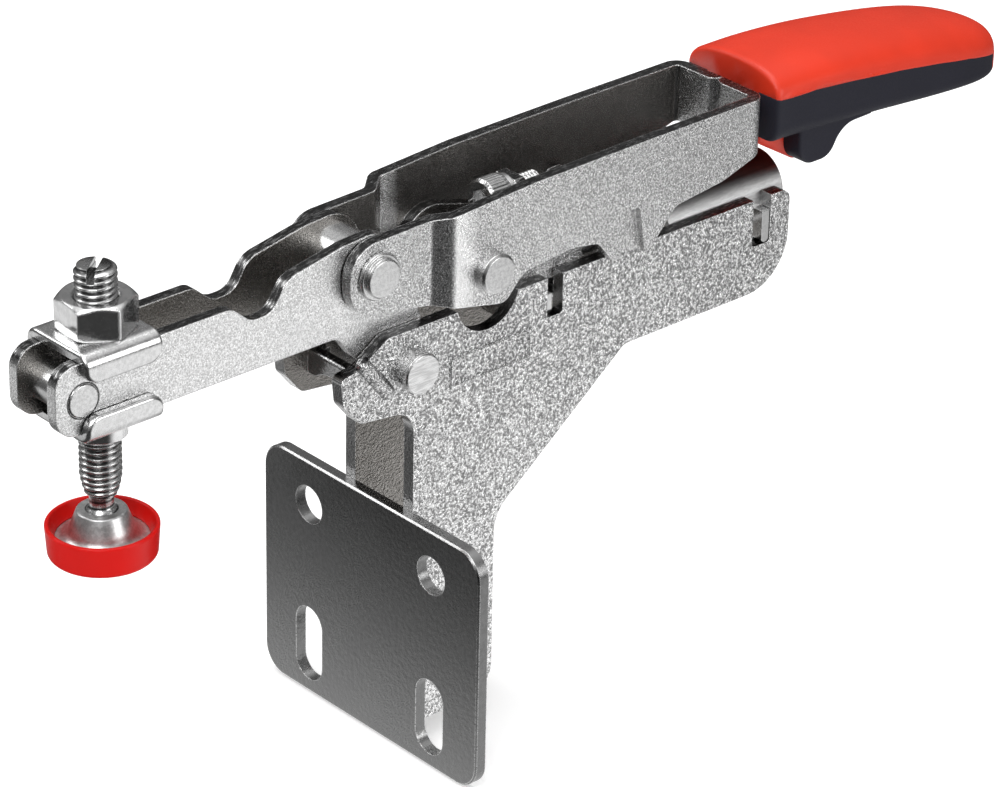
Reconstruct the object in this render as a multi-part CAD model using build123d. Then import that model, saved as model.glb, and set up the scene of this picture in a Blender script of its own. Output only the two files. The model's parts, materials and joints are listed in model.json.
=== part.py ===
"""Toggle clamp with vertical mounting plate, closed.

Frame: origin at the centre of the mounting face of the base plate.
+X runs from the clamping tip towards the grip, +Z is up, the clamp is
symmetric about the XZ plane. Units are millimetres.
"""
import math
import os

from build123d import *

# ---------------------------------------------------------------- clearances
RUN = 0.05          # radial running fit of every hinge pin
SIDE = 0.30         # side gap between plates of different bodies
SLIDE = 0.10        # sliding fit of the saddles on the arm
THREAD = 0.08       # radial gap between a plain nut bore and its spindle

# ---------------------------------------------------------------- sheet sizes
BASE_T = 2.5        # base plate
FRAME_T = 2.8       # folded frame
ARM_T = 2.4         # arm plates
GRIP_T = 2.4        # handle plates
LINK_T = 2.5        # link

# ---------------------------------------------------------------- layers in Y
ARM_IN = 4.4                        # inner face of an arm plate
ARM_OUT = ARM_IN + ARM_T
CHEEK_IN = ARM_OUT + SIDE
CHEEK_OUT = CHEEK_IN + FRAME_T
HFRONT_IN = ARM_OUT + SIDE          # handle plate beside the arm
HFRONT_OUT = HFRONT_IN + GRIP_T
HREAR_IN = CHEEK_OUT + SIDE         # handle plate beside the frame
HREAR_OUT = HREAR_IN + GRIP_T
LINK_OUT = ARM_OUT - 0.1
LINK_IN = LINK_OUT - LINK_T

# ---------------------------------------------------------------- base plate
BASE_W, BASE_H, BASE_R = 63.5, 51.8, 5.6
BASE_CHAMFER = 0.35
HOLE_R = 4.0                        # round holes and half width of the slots
HOLE_SIDE = 13.65                   # hole and slot centre from the side edge
HOLE_TOP = 9.4                      # hole centre from the top edge
SLOT_LOW, SLOT_LEN = 2.85, 16.4     # slot end from the bottom edge, its length
HOLE_Y = BASE_W / 2 - HOLE_SIDE
HOLE_Z = BASE_H / 2 - HOLE_TOP
SLOT_Z = SLOT_LOW + SLOT_LEN / 2 - BASE_H / 2

# ---------------------------------------------------------------- frame
TOP_Z = 64.6                        # top edge of the cheeks
REAR_DEPTH = 20.5                   # height of the cheeks behind the slope
LOW_Z = TOP_Z - REAR_DEPTH
FOOT_UP = 4.4                       # lower end of the cheeks above the plate's edge
FOOT_Z = FOOT_UP - BASE_H / 2
FOOT_X = 23.4                       # rear edge of the welded foot
SLOPE_LOW_Z = 18.0                  # where the slope leaves the foot
SLOPE_X = 56.9                      # where it meets the lower edge
REAR_X = 101.5

# ---------------------------------------------------------------- pivots X, Z
AX, AZ = 1.6, TOP_Z - 7.5           # arm on frame
BX, BZ = AX - 7.8, AZ + 21.3        # handle on arm
CX, CZ = BX + 25.2, BZ - 5.7        # link on handle
DX, DZ = CX + 31.0, CZ - 6.2        # carriage on link

NOTCH_R = 7.9                       # cut in the cheeks round the link pivot
NOTCH_X, NOTCH_Z = CX + 1.8, CZ - 5.9
ARM_A_R, ARM_B_R = 7.5, 7.2
WEB_X = AX - ARM_A_R - SIDE - 0.2 - FRAME_T
WEB_TOP, WEB_H = AZ + 0.9, 5.0

# ---------------------------------------------------------------- guide
BAR_R, BAR_Z = 2.5, DZ - 9.7
GUIDE_T = 2.0
SLOT_R = 0.6                        # corners at the bottom of both frame slots
FSLOT_X0, FSLOT_X1, FSLOT_Z = 36.0, 40.0, BAR_Z - 0.4
RSLOT_X0, RSLOT_X1, RSLOT_Z = 91.3, 96.2, BAR_Z - 2.4
FGUIDE_X = FSLOT_X0 + 0.3           # front face of the front guide plate
RGUIDE_X = RSLOT_X1 - GUIDE_T - 0.1
GUIDE_LOW = BAR_Z - 5.8
FGUIDE_TOP, RGUIDE_TOP = BAR_Z + 3.8, BAR_Z + 4.6
BAR_FRONT = FGUIDE_X - 1.2
BAR_END = RGUIDE_X + GUIDE_T + 1.2
COVER_X0, COVER_X1 = 70.8, 102.3
COVER_T, COVER_TOP = 1.0, RGUIDE_TOP + 8.2
LINK_C_R, LINK_D_R = 7.5, 5.0
CARRIAGE_X = 5.2                    # half length of the carriage
CARRIAGE_TOP, CARRIAGE_LOW = DZ - LINK_D_R - 1.3, BAR_Z - 5.3
CARRIAGE_LIFT = 3.1                 # room over the bar for the opened loop

# ---------------------------------------------------------------- arm
TIP_X = -77.6
ARM_H = 13.8
ARM_LOW = BZ - 11.5
ARM_TOP = ARM_LOW + ARM_H
DIP = 3.8                           # depth of the dip in the top edge
TIP_PIN_X, TIP_PIN_Z, TIP_PIN_R = TIP_X + 6.0, ARM_LOW + 6.5, 3.2
TIP_SLEEVE_R = 3.8
A_PIN_R, A_HEAD_R, A_HEAD_H = 4.0, 4.1, 3.7
A_SLEEVE_R = 6.0
B_PIN_R, B_HEAD_R, B_STEP_R = 3.5, 3.9, 4.7
B_STEP_H, B_HEAD_H = 0.9, 1.0
B_SLEEVE_R = 6.0
C_PIN_R, C_HEAD_R, C_HEAD_H = 3.5, 4.1, 2.4
D_PIN_R = 2.5

# ---------------------------------------------------------------- spindle set
SP_X = -63.2
SP_R = 3.95
SP_TOP, SP_LOW = ARM_TOP + 14.3, ARM_LOW - 15.1
NECK_R, NECK_H = 2.3, 2.6           # neck below the taper of the threaded end
BALL_R, BALL_Z = 3.4, SP_LOW - 7.5
NUT_AF, NUT_H = 13.0, 6.5
NUT_TURN = 87.0                     # direction of one corner, degrees from +X
SADDLE_T = 1.8
SADDLE_X0, SADDLE_X1 = SP_X - 9.0, SP_X + 8.0
SADDLE_UP_LIP, SADDLE_LOW_LIP = ARM_TOP - 3.8, ARM_LOW + 3.5
BUSH_R, BUSH_H = 5.2, 4.0           # round threaded bush under the lower saddle
CUP_H = 1.8                         # collar of the foot above the ball's centre
CUP_RIM_R, CUP_CONE_R, CUP_DISC_R = 4.6, 6.0, 8.8
CUP_DISC_T = 1.6
CUP_TOP = BALL_Z + CUP_H
CUP_LOW = BALL_Z - 5.4
CUP_DISC_TOP = CUP_LOW + CUP_DISC_T
PAD_R, PAD_FLOOR, PAD_WALL = 10.5, 2.0, 2.8
PAD_LOW = CUP_LOW - PAD_FLOOR
PAD_TOP = CUP_DISC_TOP + PAD_WALL

# ---------------------------------------------------------------- handle, grip
HANDLE_TOP = BZ + 9.8               # top edge at the closed rear end
RIB_Z = TOP_Z + 0.4                 # lower end of the stop ribs
TANG_Y = 0.05                       # half gap between the two tangs
WALL_X = 90.8                       # rear face of the closed end
TANG_TOP, TANG_LOW = BZ + 8.2, BZ - 0.2
TANG_END = 150.0
GRIP_X = WALL_X + 3.0               # front face of the grip
CORE_Y = 7.2                        # half width of the hard core between pads
# adjusting screw
SCREW_Z, SCREW_X = CZ + 7.5, 27.3
SCREW_HEAD_R, SCREW_HEAD_H, SCREW_R = 4.25, 5.0, 2.5
SCREW_HEX = 4.0
WASHER_R, WASHER_T = 4.0, 1.0
SCREW_TIP = 41.4
LUG_X = SCREW_X + SCREW_HEAD_H + WASHER_T + 2 * RUN
LUG_LOW, LUG_TOP = CZ - 2.0, SCREW_Z + 3.4

os.makedirs("parts", exist_ok=True)


# ---------------------------------------------------------------- helpers
def outline(corners, plane="XZ"):
    """Closed face through corners (u, v, radius); radius rounds the corner."""
    pts = [(c[0], c[1], c[2] if len(c) > 2 else 0.0) for c in corners]
    n = len(pts)
    edges = []
    ends = []
    for i in range(n):
        u, v, r = pts[i]
        if r <= 0:
            ends.append(((u, v), (u, v), None))
            continue
        pu, pv = pts[i - 1][0] - u, pts[i - 1][1] - v
        qu, qv = pts[(i + 1) % n][0] - u, pts[(i + 1) % n][1] - v
        lp, lq = math.hypot(pu, pv), math.hypot(qu, qv)
        pu, pv, qu, qv = pu / lp, pv / lp, qu / lq, qv / lq
        half = 0.5 * math.acos(max(-1.0, min(1.0, pu * qu + pv * qv)))
        t = r / math.tan(half)
        mu, mv = pu + qu, pv + qv
        lm = math.hypot(mu, mv)
        d = r / math.sin(half)
        mid = (u + mu / lm * (d - r), v + mv / lm * (d - r))
        ends.append(((u + pu * t, v + pv * t), (u + qu * t, v + qv * t), mid))

    def p3(q):
        return (q[0], 0, q[1]) if plane == "XZ" else (q[0], q[1], 0)

    for i in range(n):
        a, b, mid = ends[i]
        if mid is not None:
            edges.append(ThreePointArc(p3(a), p3(mid), p3(b)))
        nxt = ends[(i + 1) % n][0]
        if math.dist(b, nxt) > 1e-6:
            edges.append(Line(p3(b), p3(nxt)))
    return make_face(Wire(edges))


def slab(corners, y0, y1):
    """Side outline in X, Z extruded from y0 to y1."""
    face = Pos(0, y0, 0) * outline(corners)
    return extrude(face, amount=y1 - y0, dir=(0, 1, 0))


def prism(corners, z0, z1):
    """Plan outline in X, Y extruded from z0 to z1."""
    face = Pos(0, 0, z0) * outline(corners, "XY")
    return extrude(face, amount=z1 - z0, dir=(0, 0, 1))


def pin(x, z, r, y0, y1):
    """Round bar along Y."""
    return Pos(x, 0.5 * (y0 + y1), z) * Rot(90, 0, 0) * Cylinder(r, y1 - y0)


def post(x, y, r, z0, z1):
    """Round bar along Z."""
    return Pos(x, y, 0.5 * (z0 + z1)) * Cylinder(r, z1 - z0)


def rod(y, z, r, x0, x1):
    """Round bar along X."""
    return Pos(0.5 * (x0 + x1), y, z) * Rot(0, 90, 0) * Cylinder(r, x1 - x0)


def block(x0, x1, y0, y1, z0, z1):
    """Box between two opposite corners."""
    centre = Pos(0.5 * (x0 + x1), 0.5 * (y0 + y1), 0.5 * (z0 + z1))
    return centre * Box(x1 - x0, y1 - y0, z1 - z0)


def strap(x1, z1, r1, x2, z2, r2, y0, y1):
    """Flat bar with two round ends joined by their common tangents."""
    dx, dz = x2 - x1, z2 - z1
    gap = math.hypot(dx, dz)
    along = math.atan2(dz, dx)
    lean = math.acos((r1 - r2) / gap)
    corners = []
    for x, z, r, sign in ((x1, z1, r1, 1), (x2, z2, r2, 1), (x2, z2, r2, -1), (x1, z1, r1, -1)):
        t = along + sign * lean
        corners.append((x + r * math.cos(t), z + r * math.sin(t)))
    return slab(corners, y0, y1) + pin(x1, z1, r1, y0, y1) + pin(x2, z2, r2, y0, y1)


def far(shape):
    """Mirror image on the other side of the XZ plane."""
    return mirror(shape, about=Plane.XZ)


def save(shape, node):
    """Write one node; a list becomes separate solids in one file."""
    if isinstance(shape, (list, tuple)):
        solids = []
        for s in shape:
            solids += s.solids()
        shape = Compound(children=solids)
    else:
        found = shape.solids()
        shape = found[0] if len(found) == 1 else Compound(children=found)
    export_step(shape, f"parts/{node}.step")


# ---------------------------------------------------------------- base plate
def base_plate():
    face = RectangleRounded(BASE_W, BASE_H, BASE_R)
    for side in (-1, 1):
        face -= Pos(side * HOLE_Y, HOLE_Z) * Circle(HOLE_R)
        slot = SlotOverall(SLOT_LEN, 2 * HOLE_R, rotation=90)
        face -= Pos(side * HOLE_Y, SLOT_Z) * slot
    plate = extrude(Plane.YZ * face, amount=BASE_T)
    rim = plate.faces().sort_by(Axis.X)[0].outer_wire().edges()
    return chamfer(rim, BASE_CHAMFER)


# ---------------------------------------------------------------- frame body
def cheek_outline():
    return [
        (BASE_T, FOOT_Z, 1.0),
        (FOOT_X, FOOT_Z, 6.0),
        (FOOT_X, SLOPE_LOW_Z, 8.0),
        (SLOPE_X, LOW_Z, 3.0),
        (REAR_X, LOW_Z, 11.0),
        (REAR_X, TOP_Z, 2.5),
        (AX - 5.6, TOP_Z + 0.3, 2.0),
        (AX - 12.4, AZ + 3.4, 1.5),
        (WEB_X - 6.2, WEB_TOP + 1.8, 1.2),
        (WEB_X - 5.6, WEB_TOP - 3.8, 2.0),
        (AX - 12.4, AZ - 7.8, 2.5),
        (BASE_T, AZ - 9.4, 5.2),
    ]


def cheek():
    plate = slab(cheek_outline(), CHEEK_IN, CHEEK_OUT)
    plate -= pin(NOTCH_X, NOTCH_Z, NOTCH_R, CHEEK_IN - 1, CHEEK_OUT + 1)
    slots = (
        (FSLOT_X0, FSLOT_X1, FSLOT_Z),
        (RSLOT_X0, RSLOT_X1, RSLOT_Z),
    )
    for x0, x1, z in slots:
        open_z = TOP_Z + 5
        cut = [(x0, z, SLOT_R), (x1, z, SLOT_R), (x1, open_z), (x0, open_z)]
        plate -= slab(cut, CHEEK_IN - 1, CHEEK_OUT + 1)
    plate -= pin(AX, AZ, A_PIN_R, CHEEK_IN - 1, CHEEK_OUT + 1)
    return plate


def crease():
    """Pressed stiffening bead running down from the fold of the web."""
    top = (AX - 11.6, AZ + 4.2)
    end = (AX - 5.6, AZ - 3.4)
    radius, sunk = 1.75, 0.7
    length = math.dist(top, end)
    lean = math.degrees(math.atan2(top[1] - end[1], end[0] - top[0]))
    bar = Rot(0, 90, 0) * Cylinder(radius, length)
    for x in (-length / 2, length / 2):
        bar += Pos(x, 0, 0) * Sphere(radius)
    bar = Pos((top[0] + end[0]) / 2, CHEEK_OUT - sunk, (top[1] + end[1]) / 2) * Rot(0, lean, 0) * bar
    half = block(AX - 20, AX + 5, CHEEK_OUT - 0.3, CHEEK_OUT + 3, AZ - 12, AZ + 12)
    return bar & half


def label_rim():
    """Plain raised border of an empty nameplate area."""
    x0, x1, z0, z1, w = AX + 10.0, AX + 30.7, AZ - 8.2, AZ - 1.7, 0.8
    rim = block(x0, x1, -CHEEK_OUT - 0.3, -CHEEK_OUT + 0.3, z0, z1)
    rim -= block(x0 + w, x1 - w, -CHEEK_OUT - 1, -CHEEK_OUT + 1, z0 + w, z1 - w)
    return rim


def frame_body():
    web_rear = WEB_X + FRAME_T
    web = block(WEB_X, web_rear, -CHEEK_IN, CHEEK_IN, WEB_TOP - WEB_H, WEB_TOP)
    crown = [e for e in web.edges().filter_by(Axis.Y) if e.center().Z > WEB_TOP - 0.1]
    web = fillet(crown, FRAME_T * 0.4)
    arch_r = 9.0
    web -= rod(0, WEB_TOP - WEB_H - arch_r + 1.5, arch_r, WEB_X - 1, web_rear + 1)
    near = cheek() + crease()
    return far(near) + near + web + label_rim()


# ---------------------------------------------------------------- guide parts
def guide_plate(x, top, slot_z, tab_out):
    plate = block(x, x + GUIDE_T, -CHEEK_IN, CHEEK_IN, GUIDE_LOW, top)
    tab = block(x, x + GUIDE_T, -tab_out, tab_out, slot_z, top)
    low = [e for e in tab.edges().filter_by(Axis.Y) if abs(e.center().Z - slot_z) < 1e-3]
    tab = chamfer(low, SLOT_R)
    return plate + tab - rod(0, BAR_Z, BAR_R, x - 1, x + GUIDE_T + 1)


def guide_bar():
    bar = rod(0, BAR_Z, BAR_R, BAR_FRONT, BAR_END)
    return chamfer(bar.edges().filter_by(GeomType.CIRCLE), 0.4)


def cover():
    """Rolled inverted channel lying between the cheeks on the rear guide plate."""
    outer_r = CHEEK_IN
    axis_z = COVER_TOP - outer_r
    outer = rod(0, axis_z, outer_r, COVER_X0, COVER_X1)
    inner = rod(0, axis_z, outer_r - COVER_T, COVER_X0 - 1, COVER_X1 + 1)
    keep = block(COVER_X0, COVER_X1, -outer_r, outer_r, RGUIDE_TOP, COVER_TOP + 1)
    return (outer - inner) & keep


# ---------------------------------------------------------------- arm
def arm_outline():
    """Beam of the arm; its rear end runs into the two round lobes."""
    return [
        (TIP_X, ARM_LOW, 4.6),
        (BX - 7.4, ARM_LOW, 3.5),
        (BX - 3.7, ARM_LOW - 5.0, 2.0),
        (AX - ARM_A_R + 0.6, AZ + 1.0),
        (AX, AZ),
        (BX + 2.0, BZ),
        (BX, BZ + ARM_B_R),
        (BX - 5.8, BZ + ARM_B_R - 0.4, 8.0),
        (BX - 19.2, ARM_TOP + 1.9, 5.0),
        (BX - 22.7, ARM_TOP - DIP, 4.0),
        (BX - 27.7, ARM_TOP - DIP, 4.0),
        (BX - 32.0, ARM_TOP, 3.5),
        (TIP_X, ARM_TOP, 4.2),
    ]


def arm_plate():
    plate = slab(arm_outline(), ARM_IN, ARM_OUT)
    plate += strap(AX, AZ, ARM_A_R, BX, BZ, ARM_B_R, ARM_IN, ARM_OUT)
    web_clear = WEB_X + FRAME_T + SIDE
    plate -= block(WEB_X - 6, web_clear, 0, 9, WEB_TOP - 12, WEB_TOP + SIDE)
    plate -= pin(AX, AZ, A_PIN_R + RUN, ARM_IN - 1, ARM_OUT + 1)
    plate -= pin(BX, BZ, B_PIN_R, ARM_IN - 1, ARM_OUT + 1)
    plate -= pin(TIP_PIN_X, TIP_PIN_Z, TIP_PIN_R, ARM_IN - 1, ARM_OUT + 1)
    return plate


def sleeve(x, z, outer, bore):
    tube = pin(x, z, outer, -ARM_IN, ARM_IN)
    return tube - pin(x, z, bore, -ARM_IN - 1, ARM_IN + 1)


def round_rivet(x, z, r, reach, head_r, head_from, edge):
    """Rivet along Y: shank of radius r with plain heads beyond head_from."""
    body = pin(x, z, r, -head_from, head_from)
    for s in (-1, 1):
        y0, y1 = sorted((s * head_from, s * reach))
        head = pin(x, z, head_r, y0, y1)
        rim = head.faces().sort_by(Axis.Y)[0 if s < 0 else -1].edges()
        body += chamfer(rim, edge)
    return body


def tip_rivet():
    reach = ARM_OUT + 0.25
    bar = pin(TIP_PIN_X, TIP_PIN_Z, TIP_PIN_R, -reach, reach)
    return chamfer(bar.edges().filter_by(GeomType.CIRCLE), 0.2)


def handle_rivet():
    y0 = HFRONT_OUT + SLIDE
    y1 = y0 + B_STEP_H
    y2 = y1 + B_HEAD_H
    body = pin(BX, BZ, B_PIN_R, -y0, y0)
    for s in (-1, 1):
        a, b = sorted((s * y0, s * y1))
        c, d = sorted((s * y1, s * y2))
        step = pin(BX, BZ, B_STEP_R, a, b)
        head = pin(BX, BZ, B_HEAD_R, c, d)
        k = 0 if s < 0 else -1
        step = chamfer(step.faces().sort_by(Axis.Y)[k].edges(), 0.3)
        head = chamfer(head.faces().sort_by(Axis.Y)[k].edges(), 0.35)
        body += step + head
    return body


# ---------------------------------------------------------------- spindle set
def nut():
    """Hexagon nut, corners chamfered at the top, with a plain bore."""
    corner_r = NUT_AF / math.sqrt(3)
    land_r = 0.97 * NUT_AF / 2
    drop = (corner_r - land_r) * math.tan(math.radians(30))
    body = extrude(RegularPolygon(NUT_AF / 2, 6, major_radius=False), amount=NUT_H)
    turned = [
        (0, 0),
        (land_r + 0.4, 0),
        (corner_r + 0.01, drop * 0.6),
        (corner_r + 0.01, NUT_H - drop),
        (land_r, NUT_H),
        (0, NUT_H),
    ]
    body &= revolve(outline(turned), Axis.Z)
    bore = SP_R + THREAD
    sink = 0.5
    body -= post(0, 0, bore, -1, NUT_H + 1)
    body -= Pos(0, 0, NUT_H - sink / 2) * Cone(bore, bore + sink, sink)
    return Pos(SP_X, 0, ARM_TOP + SLIDE + SADDLE_T + RUN) * Rot(0, 0, NUT_TURN) * body


def bush():
    """Round threaded bush seated under the lower saddle."""
    top = ARM_LOW - SLIDE - SADDLE_T
    body = post(0, 0, BUSH_R, top - BUSH_H, top)
    body = chamfer(body.faces().sort_by(Axis.Z)[0].edges(), 0.8)
    body -= post(0, 0, SP_R + THREAD, top - BUSH_H - 1, top + 1)
    return Pos(SP_X, 0, 0) * body


def saddle(upper):
    """Folded channel clamped on the arm plates; lips grip their outer faces."""
    way = 1 if upper else -1
    inner = (ARM_TOP if upper else ARM_LOW) + way * SLIDE
    outer = inner + way * SADDLE_T
    lip = SADDLE_UP_LIP if upper else SADDLE_LOW_LIP
    yi = ARM_OUT + SIDE
    yo = yi + SADDLE_T
    z0, z1 = sorted((outer, lip))
    body = block(SADDLE_X0, SADDLE_X1, -yo, yo, z0, z1)
    bend = [e for e in body.edges().filter_by(Axis.X) if abs(e.center().Z - outer) < 1e-3]
    body = fillet(bend, SADDLE_T + 0.8)
    z2, z3 = sorted((inner, lip - way))
    trough = block(SADDLE_X0 - 1, SADDLE_X1 + 1, -yi, yi, z2, z3)
    body -= trough
    tips = [e for e in body.edges().filter_by(Axis.Y) if abs(e.center().Z - lip) < 1e-3]
    body = fillet(tips, 3.0)
    rims = [
        e
        for e in body.edges().filter_by(Axis.X)
        if abs(e.center().Z - lip) < 1e-3 and abs(abs(e.center().Y) - yo) < 1e-3
    ]
    body = fillet(rims, 0.7)
    return body - post(SP_X, 0, SP_R + 0.25, z0 - 1, z1 + 1)


def spindle():
    shaft = [
        (0, BALL_Z),
        (NECK_R, BALL_Z),
        (NECK_R, SP_LOW - NECK_H - 0.6, 0.4),
        (NECK_R + 0.6, SP_LOW - NECK_H, 0.3),
        (SP_R, SP_LOW),
        (SP_R, SP_TOP - 0.9),
        (SP_R - 0.8, SP_TOP),
        (0, SP_TOP),
    ]
    body = revolve(outline(shaft), Axis.Z)
    body += Pos(0, 0, BALL_Z) * Sphere(BALL_R)
    groove = Rot(0, 0, 24) * Pos(0, 0, SP_TOP) * Box(3 * SP_R, 1.5, 5.0)
    return Pos(SP_X, 0, 0) * (body - groove)


def cup():
    """Steel socket foot: dished disc with a raised collar round the ball."""
    profile = [
        (0, CUP_LOW),
        (CUP_DISC_R, CUP_LOW),
        (CUP_DISC_R, CUP_DISC_TOP, 0.3),
        (CUP_CONE_R + 0.8, CUP_DISC_TOP, 2.4),
        (CUP_RIM_R + 0.5, CUP_TOP - 1.2, 2.4),
        (CUP_RIM_R, CUP_TOP, 0.5),
        (0, CUP_TOP),
    ]
    body = revolve(outline(profile), Axis.Z)
    body -= Pos(0, 0, BALL_Z) * Sphere(BALL_R + 0.12)
    return Pos(SP_X, 0, 0) * body


def pad():
    """Moulded cap that holds the rim of the disc."""
    profile = [
        (0, PAD_LOW),
        (PAD_R - 0.4, PAD_LOW, 1.0),
        (PAD_R + 0.05, PAD_TOP, 0.45),
        (PAD_R - 0.75, PAD_TOP, 0.3),
        (CUP_DISC_R - 0.15, CUP_DISC_TOP + 0.25),
        (CUP_DISC_R - 0.15, CUP_DISC_TOP),
        (CUP_DISC_R, CUP_DISC_TOP),
        (CUP_DISC_R, CUP_LOW),
        (0, CUP_LOW),
    ]
    return Pos(SP_X, 0, 0) * revolve(outline(profile), Axis.Z)


# ---------------------------------------------------------------- handle
def handle_side():
    return [
        (BX - 6.6, BZ + 6.7, 6.5),
        (BX + 12.7, BZ + 7.2, 6.0),
        (BX + 17.2, BZ + 8.1, 5.0),
        (BX + 36.2, BZ + 9.3, 40.0),
        (BX + 66.2, HANDLE_TOP - 0.1, 40.0),
        (WALL_X + 0.4, HANDLE_TOP, 0.4),
        (WALL_X + 0.4, TANG_TOP, 0.3),
        (TANG_END, TANG_TOP - 2.6, 2.0),
        (TANG_END, TANG_LOW + 1.2, 2.0),
        (WALL_X + 0.4, TANG_LOW, 0.3),
        (WALL_X + 0.4, BZ - 1.5, 0.3),
        (WALL_X - 2.1, BZ - 2.1, 1.0),
        (WALL_X - 11.3, BZ - 5.0, 12.0),
        (66.8, BZ - 6.5, 3.0),
        (60.6, RIB_Z, 0.8),
        (50.6, RIB_Z, 0.8),
        (46.4, BZ - 8.4, 2.2),
        (39.5, BZ - 7.2, 8.0),
        (CX + 8.2, BZ - 8.5, 4.5),
        (CX + 3.6, BZ - 13.5, 3.0),
        (CX - 10.5, BZ - 10.4, 6.0),
        (BX - 6.6, BZ - 6.9, 6.5),
    ]


def handle_plan():
    """Plan outline of one handle plate: front, outward joggle, closed end, tang."""
    x1, x2 = BX + 12.7, BX + 16.2
    slope = math.atan2(HREAR_OUT - HFRONT_OUT, x2 - x1)
    shift = GRIP_T * math.tan(slope / 2)
    return [
        (BX - 14, HFRONT_IN),
        (BX - 14, HFRONT_OUT),
        (x1, HFRONT_OUT, 2.0),
        (x2, HREAR_OUT, 3.0),
        (WALL_X, HREAR_OUT, 3.4),
        (WALL_X, TANG_Y + GRIP_T, 1.2),
        (TANG_END + 5, TANG_Y + GRIP_T),
        (TANG_END + 5, TANG_Y),
        (WALL_X - GRIP_T, TANG_Y, 2.4),
        (WALL_X - GRIP_T, HREAR_IN, 1.0),
        (x2 + shift, HREAR_IN, 1.0),
        (x1 + shift, HFRONT_IN, 2.0),
    ]


def handle_plate():
    plan = prism(handle_plan(), RIB_Z - 5, HANDLE_TOP + 5)
    plate = plan & slab(handle_side(), -1, HREAR_OUT + 1)
    # stop rib pressed inwards above the top edge of the cheek
    deep = 1.7
    z = RIB_Z
    cut = [(51.7, z - 5), (59.6, z - 5), (57.3, z + 9.6, 1.2), (53.9, z + 9.6, 1.2)]
    boss = [(51.0, z, 0.8), (60.2, z, 0.8), (57.9, z + 10.4, 1.8), (53.3, z + 10.4, 1.8)]
    rib = slab(boss, HREAR_IN - deep, HREAR_IN + 0.1)
    plate = plate + rib - slab(cut, HREAR_OUT - deep, HREAR_OUT + 1)
    plate -= pin(BX, BZ, B_PIN_R + RUN, HFRONT_IN - 1, HFRONT_OUT + 1)
    plate -= pin(CX, CZ, C_PIN_R, HREAR_IN - 1, HREAR_OUT + 1)
    return plate


def link_rivet():
    y0, y1 = HREAR_OUT, HREAR_OUT + C_HEAD_H
    return round_rivet(CX, CZ, C_PIN_R, y1, C_HEAD_R, y0, 0.5)


# ---------------------------------------------------------------- grip
GRIP_ROWS = [
    # x, half width, then crown, shoulder and underside above the pivot BZ
    (GRIP_X, 12.8, 13.7, 8.2, -1.8),
    (104.0, 12.9, 13.8, 7.7, -2.1),
    (116.0, 12.9, 13.1, 6.6, -2.8),
    (129.0, 12.6, 11.7, 5.0, -3.8),
    (142.0, 12.1, 9.8, 2.9, -5.0),
    (151.0, 11.2, 7.9, 1.1, -5.9),
    (158.0, 9.5, 5.6, -0.8, -6.8),
    (163.6, 6.9, 2.8, -2.4, -7.4),
    (166.8, 3.6, -0.4, -3.4, -7.2),
]


def grip_section(row):
    """Cross section with a full rounded crown and rounded lower corners."""
    x, w, crown, shoulder, under = row
    zc, zs, zb = BZ + crown, BZ + shoulder, BZ + under
    r = 0.28 * min(w, zs - zb + 2)
    c = r * (1 - math.sqrt(0.5))

    def p(y, z):
        return (x, y, z)

    across = Plane(origin=p(0, zs), x_dir=(0, 1, 0), z_dir=(1, 0, 0))
    dome = across * EllipticalCenterArc((0, 0), w, zc - zs, start_angle=0, arc_size=180)
    edges = [
        Line(p(-w + r, zb), p(w - r, zb)),
        ThreePointArc(p(w - r, zb), p(w - c, zb + c), p(w, zb + r)),
        Line(p(w, zb + r), p(w, zs)),
        dome,
        Line(p(-w, zs), p(-w, zb + r)),
        ThreePointArc(p(-w, zb + r), p(-w + c, zb + c), p(-w + r, zb)),
    ]
    return make_face(Wire(edges))


def grip_blank():
    blank = loft([grip_section(r) for r in GRIP_ROWS])
    blank = fillet(blank.faces().sort_by(Axis.X)[0].edges(), 1.0)
    return fillet(blank.faces().sort_by(Axis.X)[-1].edges(), 0.5)


def finger_lobe(y0, y1, core):
    """Rounded stop for the fingers under the front of the grip."""
    top, root = BZ + 0.6, BZ - 2.6
    bottom = BZ - (9.2 if core else 8.9)
    rear = [
        (110.3, bottom, 4.2),
        (113.6, root - 0.4, 6.0),
        (122.0, root - 0.2),
        (122.0, top),
    ]
    if core:
        front = [(GRIP_X + 1.0, top), (GRIP_X + 1.0, root - 0.8, 1.0), (104.4, bottom, 3.0)]
    else:
        front = [(101.4, top), (101.8, bottom, 4.0)]
    return slab(front + rear, y0, y1)


def side_zone(y0, y1):
    """Space of one soft side panel: below the shoulder line, outside the core."""
    front, rear, low = GRIP_X - 2, 175, BZ - 20
    line = [(row[0], BZ + row[3] - 0.05) for row in GRIP_ROWS]
    line = [(front, line[0][1])] + line + [(rear, line[-1][1] - 1.2)]
    return slab(line + [(rear, low), (front, low)], y0, y1)


def grip_parts():
    """Hard core and crown in one piece, with a soft panel on each side."""
    blank = grip_blank()
    reach = GRIP_ROWS[0][1] - 0.7
    core = blank + finger_lobe(-CORE_Y, CORE_Y, True)
    panels = []
    for side in (-1, 1):
        y0, y1 = sorted((side * CORE_Y, side * 20))
        zone = side_zone(y0, y1)
        y0, y1 = sorted((side * CORE_Y, side * reach))
        lobe = finger_lobe(y0, y1, False)
        rim = lobe.faces().sort_by(Axis.Y)[0 if side < 0 else -1].edges()
        panels.append((blank & zone) + fillet(rim, 0.8))
        core = core - zone
    tang = slab(handle_side(), -TANG_Y - GRIP_T, TANG_Y + GRIP_T)
    pocket = block(GRIP_X - 1, TANG_END + 1, -CORE_Y, CORE_Y, TANG_LOW - 5, TANG_TOP + 5)
    return core - (tang & pocket), panels


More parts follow.
